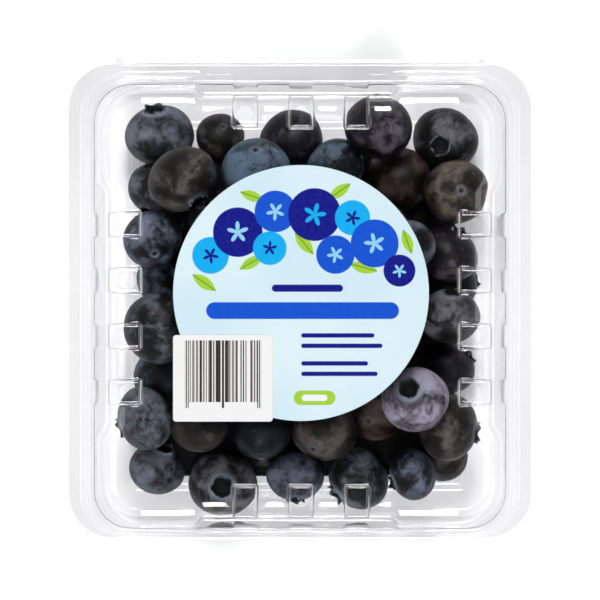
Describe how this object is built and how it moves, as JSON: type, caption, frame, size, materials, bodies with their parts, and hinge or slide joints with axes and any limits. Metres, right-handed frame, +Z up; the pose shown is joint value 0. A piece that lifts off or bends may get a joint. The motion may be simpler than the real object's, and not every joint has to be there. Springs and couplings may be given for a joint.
{
  "type": "punnet of blueberries",
  "caption": "Clear square clamshell punnet of blueberries with a hinged, vented lid, a round pale-blue label and a white code sticker.",
  "frame": {"origin": "middle of the bounding box's underside, on the surface that the punnet stands on", "axes": "+Z up through the lid, +Y towards the hinge at the back, +X to the right seen from the front"},
  "size_m": [0.1182, 0.1216, 0.0415],
  "materials": {
    "clear_plastic": "clear, glossy",
    "blueberry_skin": "dusty bloom",
    "label_paper": "satin print",
    "sticker_paper": "satin print"
  },
  "bodies": {
    "punnet_base": {"tray": "clear_plastic", "berries": "blueberry_skin", "hinge_web": "clear_plastic"},
    "punnet_lid": {"lid": "clear_plastic", "label": "label_paper", "code_sticker": "sticker_paper"}
  },
  "joints": [
    {"name": "lid_hinge", "type": "hinge", "parent": "punnet_base", "child": "punnet_lid", "pos_m": [0, 0.0603, 0.03265], "axis": [-1, 0, 0], "range_deg": [0, 180]}
  ]
}
